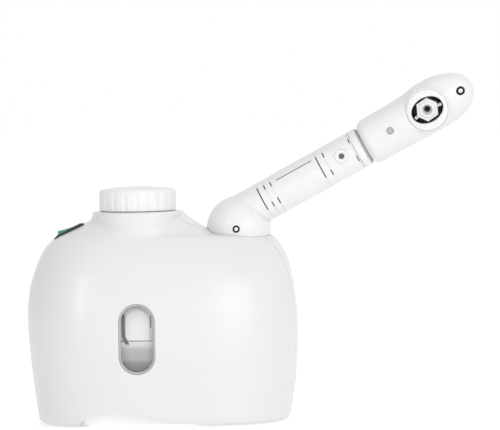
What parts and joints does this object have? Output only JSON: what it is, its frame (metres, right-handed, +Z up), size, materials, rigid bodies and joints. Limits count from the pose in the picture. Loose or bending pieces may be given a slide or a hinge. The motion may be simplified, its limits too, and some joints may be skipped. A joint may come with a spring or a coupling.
{
  "type": "facial steamer",
  "caption": "Tabletop facial steamer: domed casing with water window, filler cap and rocker switch, and a swivelling, tilting, extending steam arm.",
  "frame": {"origin": "centre of the base on the plane that the rubber feet stand on", "axes": "+Z up, +X towards the steam arm's side, -Y towards the front with the water window"},
  "size_m": [0.3592, 0.1304, 0.2745],
  "materials": {
    "casing": "glossy moulded ABS",
    "cap_white": "satin gloss",
    "arm_white": "glossy",
    "inner_white": "moulded, matte",
    "clear": "clear polycarbonate",
    "rim_grey": "satin gloss",
    "black_plastic": "semi-gloss",
    "rocker_green": "translucent gloss",
    "grey_plastic": "matte",
    "brown_plastic": "matte",
    "rubber": "matte black",
    "silicone": "translucent white",
    "board": "solder resist",
    "steel": "plated",
    "dark_steel": "plated, darker",
    "cast_aluminium": "as cast"
  },
  "bodies": {
    "base": {"front_shell": "casing", "rear_shell": "casing", "cord_gland": "rubber", "base_plate": "inner_white", "foot_1": "rubber", "foot_2": "rubber", "foot_3": "rubber", "foot_4": "rubber", "base_screw_1": "steel", "base_screw_2": "steel", "base_screw_3": "steel", "base_screw_4": "steel", "shell_screw_1": "steel", "shell_screw_2": "steel", "shell_screw_3": "steel", "shell_screw_4": "steel", "window_rim": "rim_grey", "window_lens": "clear", "water_tank": "clear", "tank_gasket": "silicone", "tank_lid": "clear", "neck_gasket": "silicone", "heater_base": "cast_aluminium", "boiler_cup": "steel", "boiler_lid": "inner_white", "feed_hose": "silicone", "thermostat": "dark_steel", "thermal_fuse": "inner_white", "control_board": "board", "swivel_bearing": "inner_white", "bearing_screw_1": "steel", "bearing_screw_2": "steel", "steam_hose": "silicone", "swivel_retainer": "inner_white", "switch_housing": "black_plastic"},
    "cap": {"filler_cap": "cap_white", "cap_seal": "silicone"},
    "rocker": {"power_rocker": "rocker_green"},
    "swivel": {"swivel_yoke": "inner_white"},
    "arm": {"elbow_front": "arm_white", "elbow_rear": "arm_white", "pivot_screw_front": "dark_steel", "pivot_screw_rear": "dark_steel", "arm_tube": "arm_white", "stop_boss": "cap_white", "stop_screw": "dark_steel", "tube_collar": "cap_white", "tube_seal": "rubber"},
    "slider": {"inner_tube": "arm_white"},
    "head": {"head_front": "casing", "head_rear": "casing", "head_screw": "dark_steel", "head_plug": "grey_plastic", "nozzle_bezel": "cap_white", "nozzle_cup": "brown_plastic", "nozzle_tip": "cap_white", "steam_duct": "silicone"}
  },
  "joints": [
    {"name": "cap_lift", "type": "slide", "parent": "base", "child": "cap", "axis": [0, 0, 1], "range_m": [0, 0.06]},
    {"name": "rocker_tip", "type": "hinge", "parent": "base", "child": "rocker", "pos_m": [-0.07352, 0, 0.15294], "axis": [0, -1, 0], "range_deg": [0, 18]},
    {"name": "arm_swivel", "type": "hinge", "parent": "base", "child": "swivel", "pos_m": [0.062, 0, 0.1536], "axis": [0, 0, 1], "range_deg": [-90, 90]},
    {"name": "arm_tilt", "type": "hinge", "parent": "swivel", "child": "arm", "pos_m": [0.062, 0, 0.1536], "axis": [-0.0872, -0.9962, 0], "range_deg": [-15, 35]},
    {"name": "arm_extend", "type": "slide", "parent": "arm", "child": "slider", "axis": [0.8771, -0.0767, 0.4741], "range_m": [0, 0.06]},
    {"name": "head_turn", "type": "hinge", "parent": "slider", "child": "head", "pos_m": [0.05803, 0.00035, 0.161], "axis": [0.8771, -0.0767, 0.4741], "range_deg": [-175, 175]}
  ]
}
